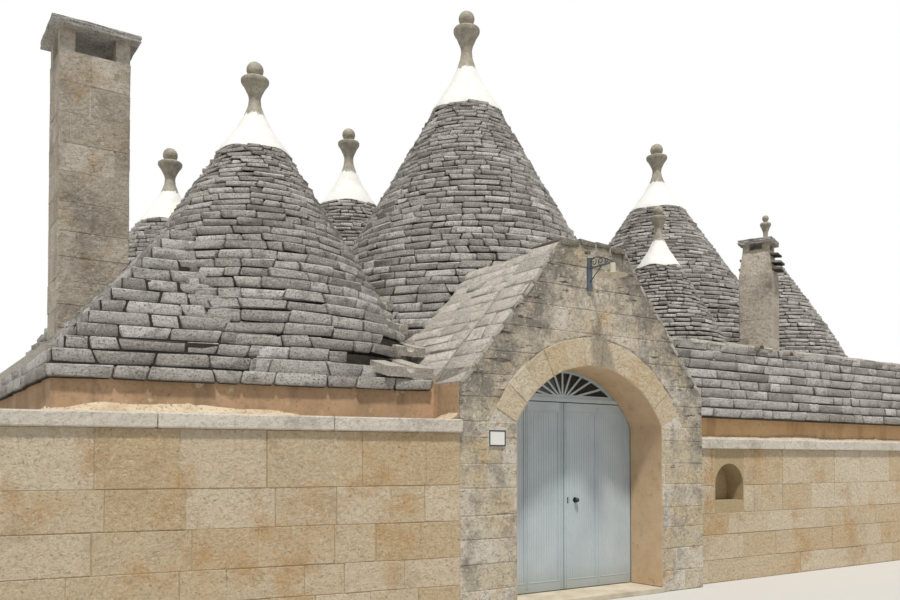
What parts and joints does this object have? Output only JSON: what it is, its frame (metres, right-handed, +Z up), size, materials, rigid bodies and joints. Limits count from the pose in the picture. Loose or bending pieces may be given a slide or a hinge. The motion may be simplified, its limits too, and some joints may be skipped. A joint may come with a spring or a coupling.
{
  "type": "trullo house",
  "caption": "stone farmhouse with dry-laid conical roofs, plastered pinnacles, arched gable doorway with double door, low coped walls and chimneys",
  "frame": {"origin": "ground level, middle of the doorway, in the plane of the gable face", "axes": "+X right along the gable face, +Y into the house, +Z up"},
  "size_m": [17.1175, 9.5254, 8.0252],
  "materials": {
    "cone_stone": "rough dry-laid limestone slabs, weathered grey",
    "cap_plaster": "lime-washed plaster, grey above the cap",
    "coping_stone": "sawn limestone slabs, weathered",
    "roof_stone": "rough limestone slabs smeared with lime mortar",
    "wall_stone": "dressed limestone blocks",
    "chimney_stone": "dressed limestone blocks, weathered",
    "wall_plaster": "old ochre lime plaster over stone",
    "painted_wood": "pale blue-grey paint on boards",
    "pane_glass": "dark window glass",
    "black_iron": "black paint",
    "lamp_enamel": "cream enamel",
    "plaque_ceramic": "white glaze with a dark border",
    "floor_stone": "worn limestone slabs"
  },
  "bodies": {
    "house": {"alcove_front_wall": "wall_plaster", "alcove_wall": "wall_plaster", "back_cone": "cone_stone", "back_left_cone": "cone_stone", "back_left_pinnacle": "cap_plaster", "back_pinnacle": "cap_plaster", "back_room_wall": "wall_plaster", "door_posts": "painted_wood", "door_transom": "painted_wood", "fanlight_frame": "painted_wood", "fanlight_glass": "pane_glass", "far_right_cone": "cone_stone", "far_right_pinnacle": "cap_plaster", "front_left_cone": "cone_stone", "front_left_pinnacle": "cap_plaster", "gable_arch_head": "wall_stone", "gable_left_pier": "wall_stone", "gable_right_pier": "wall_stone", "gable_saddle_roof": "roof_stone", "house_number_plaque": "plaque_ceramic", "lamp_bracket": "black_iron", "lamp_shade": "lamp_enamel", "left_chimney": "chimney_stone", "left_chimney_slab": "chimney_stone", "left_corner_courses": "cone_stone", "left_cross_wall": "wall_plaster", "left_front_coping": "coping_stone", "left_front_wall": "wall_stone", "left_partition_walls": "wall_plaster", "left_room_front_wall": "wall_plaster", "left_room_side_wall": "wall_plaster", "left_side_coping": "coping_stone", "left_side_wall": "wall_stone", "main_cone": "cone_stone", "main_pinnacle": "cap_plaster", "main_room_floor": "floor_stone", "passage_walls": "wall_plaster", "rear_wall_left": "wall_plaster", "rear_wall_right": "wall_plaster", "right_chimney": "chimney_stone", "right_chimney_slab": "chimney_stone", "right_cone": "cone_stone", "right_end_wall": "wall_plaster", "right_front_coping": "coping_stone", "right_front_wall": "wall_stone", "right_partition_wall": "wall_plaster", "right_pinnacle": "cap_plaster", "right_rear_corner_wall": "wall_plaster", "right_roof": "roof_stone", "right_room_front_wall": "wall_plaster", "roof_valleys": "roof_stone", "small_cone": "cone_stone", "small_pinnacle": "cap_plaster", "threshold": "coping_stone", "valley_gutter": "roof_stone"},
    "left_leaf": {"left_leaf": "painted_wood"},
    "right_leaf": {"right_leaf": "painted_wood", "door_knob": "black_iron", "keyhole_plate": "black_iron"}
  },
  "joints": [
    {"name": "left_leaf_hinge", "type": "hinge", "parent": "house", "child": "left_leaf", "pos_m": [-1.0565, 0.5485, 1.1], "axis": [0, 0, 1], "range_deg": [0, 90]},
    {"name": "right_leaf_hinge", "type": "hinge", "parent": "house", "child": "right_leaf", "pos_m": [1.0565, 0.5485, 1.1], "axis": [0, 0, -1], "range_deg": [0, 90]}
  ]
}
